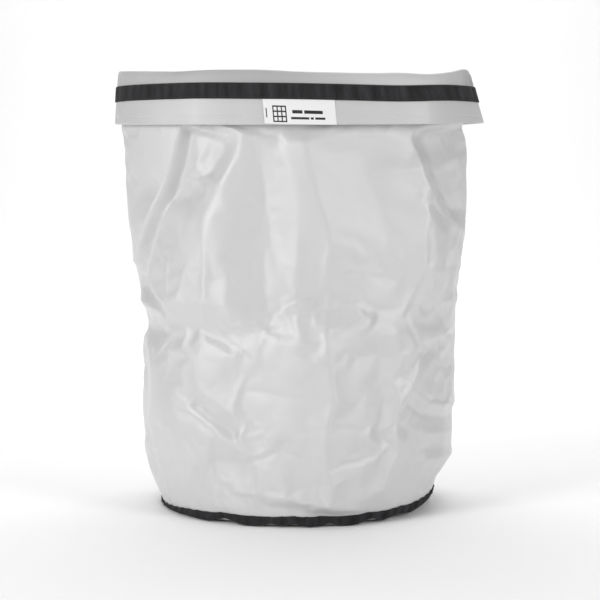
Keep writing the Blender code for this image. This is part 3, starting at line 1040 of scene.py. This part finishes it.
# ---- the base
TAPE_LIFT = 1.3 * MM
TAPE_ROWS = {"lower": 0.18, "upper": 0.82}
MESH_SLACK = 1.2 * MM
# How far the tape's upper edge is lowered and its lower edge puckers up: degrees, millimetres.
TAPE_TAPER = [(-180, 0.0), (-130, 0.0), (-105, 6.0), (-75, 6.0), (-50, 1.5), (-20, 0.0), (50, 0.0),
              (75, 3.0), (105, 3.5), (130, 0.0)]
TAPE_PUCKERS = [(-180, 0.0), (-165, 2.5), (-150, 0.3), (-132, 2.8), (-115, 0.2), (-98, 2.0), (-80, 0.0),
                (-52, 0.6), (-39, 0.0), (-30, 3.6), (-22, 0.0), (-15, 0.4), (-10, 3.2), (-6, 0.0), (-1, 2.4),
                (4, 0.0), (9, 0.2), (13, 3.0), (18, 0.2), (24, 0.0), (32, 3.4), (36, 0.2), (44, 2.2),
                (54, 0.0), (72, 0.6), (88, 2.2), (104, 0.0), (122, 2.8), (140, 0.2), (160, 2.4)]


def tape_place(angles, share, lift):
    """Points on the base tape, from 0 at its lower edge to 1 at its upper edge."""
    top = TAPE_HIGH.z - ring_wave(angles, TAPE_TAPER)
    foot = TAPE_LOW.z + ring_wave(angles, TAPE_PUCKERS, TAPE_SOFTNESS)
    heights = foot + (top - foot) * share
    points = wall_place(angles, np.maximum(heights, WALL_FOOT), lift)
    points[..., 2] += np.minimum(heights - WALL_FOOT, 0.0)
    return points


def tape_ripple(angles):
    """Small ripples that the seam gathers into the tape."""
    return PUCKER_DEPTH * gathers(angles, 61, 2.0, 7)


def base_tape():
    angles, share = ring_grid(720, np.linspace(0.0, 1.0, 12))
    edge = np.abs(2 * share - 1) ** 6
    lift = TAPE_LIFT + tape_ripple(angles) * (1 - edge) - EDGE_DIP * edge
    points = tape_place(angles, share, lift)
    material = ribbed_tape("tape_weave", 0.85, 0.9 * MM)
    grid_piece("tape", points, True, TAPE_THICKNESS, material, "base_tape")


def tape_stitches():
    angles = ring_angles(720)
    lift = TAPE_LIFT + tape_ripple(angles)
    for row, share in TAPE_ROWS.items():
        stitch_row("tape_thread_" + row, lambda raised: tape_place(angles, share, lift + raised),
                   True, "dark_thread", "base_tape_stitch_" + row)


def base_mesh():
    """A disc of mesh, a little slack, whose rim turns up inside the foot of the wall."""
    corner = 6.0 * MM
    flat_radius = MESH_RADIUS - corner
    inner = [(radius, 0.0) for radius in np.linspace(0.5 * MM, flat_radius, 60, endpoint=False)]
    turns = np.linspace(0.0, pi / 2, 8, endpoint=False)
    turned = [(flat_radius + corner * sin(turn), corner * (1 - cos(turn))) for turn in turns]
    upright = [(MESH_RADIUS, corner + rise * MM) for rise in (0.0, 1.5, 3.0)]
    profile = np.array(inner + turned + upright)
    angles, radii = ring_grid(240, profile[:, 0])
    rises = np.broadcast_to(profile[:, 1:], radii.shape)
    waves = 1 + np.sin(3 * angles + radii / (30 * MM))
    slack = MESH_SLACK * smooth_step(1.2 - radii / MESH_RADIUS) * waves
    raised = base_lift(angles) * smooth_step((radii - 0.4 * MESH_RADIUS) / (0.6 * MESH_RADIUS))
    heights = MESH_LOW.z + 0.6 * MM + rises + raised + slack
    points = np.stack([radii * np.sin(angles), -radii * np.cos(angles), heights], axis=-1)
    material = filter_mesh("filter_mesh", MESH_GREY)
    piece = grid_piece("mesh_disc", points, True, MESH_THICKNESS, material, "base_mesh", 0.0)


# ---- the back seam
SEAM_LIFT = 0.9 * MM
SEAM_EDGE_DIP = 0.35 * MM
SEAM_ROW_SHARE = 0.6


def seam_place(across, heights, lift):
    """Points beside the middle of the back, across to the left as seen from behind."""
    half_widths = between_rows(heights, WALL_ROWS, WALL_WIDTHS, ROW_ROUNDING)
    return wall_place(pi + across / half_widths, heights, lift)


def back_seam():
    places = np.linspace(-SEAM_HALF_WIDTH, SEAM_HALF_WIDTH, 11)
    across, heights = np.meshgrid(places, np.linspace(SEAM_LOW.z, SEAM_HIGH.z, 190))
    edge = np.abs(across / SEAM_HALF_WIDTH) ** 8
    points = seam_place(across, heights, SEAM_LIFT - SEAM_EDGE_DIP * edge)
    material = nylon("seam_nylon", CLOTH_WHITE, WALL_ROUGHNESS)
    grid_piece("seam_strip", points, False, SEAM_THICKNESS, material, "back_seam")


def seam_stitches():
    heights = np.linspace(SEAM_LOW.z, SEAM_HIGH.z, 300)
    for row, side in (("right", -1), ("left", 1)):
        across = side * SEAM_ROW_SHARE * SEAM_HALF_WIDTH
        stitch_row("seam_thread_" + row, lambda raised: seam_place(across, heights, SEAM_LIFT + raised),
                   False, "light_thread", "back_seam_stitch_" + row)


# ---- studio
def studio_floor():
    """A pale floor that turns up into a backdrop far behind the bag."""
    half_width, near, far, height, bend = 8.0, -8.0, 3.0, 3.0, 1.0
    profile = [(near, 0.0)]
    for step in range(13):
        angle = pi / 2 * step / 12
        profile.append((far - bend + bend * sin(angle), bend - bend * cos(angle)))
    profile.append((far, height))
    points = [(x, y, z) for y, z in profile for x in (-half_width, half_width)]
    faces = [(2 * row, 2 * row + 1, 2 * row + 3, 2 * row + 2) for row in range(len(profile) - 1)]
    mesh = new_mesh("studio_floor", points, faces)
    mesh.shade_smooth()
    mesh.materials.append(studio_paper("studio_paper", STUDIO_WHITE))
    floor = new_object("studio_floor", mesh)


def aimed_object(name, data, place, target):
    item = new_object(name, data)
    item.location = place
    item.rotation_euler = (Vector(target) - Vector(place)).to_track_quat("-Z", "Y").to_euler()
    return item


def soft_light(name, place, target, size, power):
    lamp = bpy.data.lights.new(name, "AREA")
    lamp.shape = "RECTANGLE"
    lamp.size, lamp.size_y = size
    lamp.energy = power
    aimed_object(name, lamp, place, target)


def studio_lights():
    """Two softboxes well to the sides, one overhead, and one that lights only the backdrop."""
    middle = (0.0, 0.0, BAG_HEIGHT / 2)
    soft_light("left_softbox", (-1.28, -1.16, 0.85), middle, (0.6, 1.0), 15.4)
    soft_light("right_softbox", (1.34, -1.11, 0.85), middle, (0.6, 1.0), 11.2)
    soft_light("top_softbox", (0.0, 0.2, 2.2), middle, (2.4, 1.6), 15.0)
    soft_light("backdrop_light", (0.0, 1.1, 1.9), (0.0, 2.3, 0.0), (2.4, 0.8), 36.0)
    world = bpy.data.worlds.new("studio")
    world.use_nodes = True
    sky = world.node_tree.nodes["Background"].inputs
    sky["Color"].default_value = WHITE
    sky["Strength"].default_value = 0.18
    scene.world = world
    scene.view_settings.view_transform = "Standard"


def front_camera():
    """A long lens at the height of the bag's shoulders, looking slightly down."""
    distance, height, aim_height, across = 1.81, 0.375, 0.203, 0.0025
    camera = bpy.data.cameras.new("front_camera")
    camera.lens = 108.6
    place = (across, -distance, height)
    scene.camera = aimed_object("front_camera", camera, place, (across, 0.0, aim_height))


front_camera()
studio_lights()
studio_floor()
bag_cloth()
cuff_cloth()
webbing_material = ribbed_tape("webbing_weave", 0.8, 1.2 * MM)
mouth_webbing(webbing_material)
webbing_lap(webbing_material)
webbing_stitches()
cuff_stitches()
size_label()
label_print()
label_tack()
base_mesh()
base_tape()
tape_stitches()
back_seam()
seam_stitches()
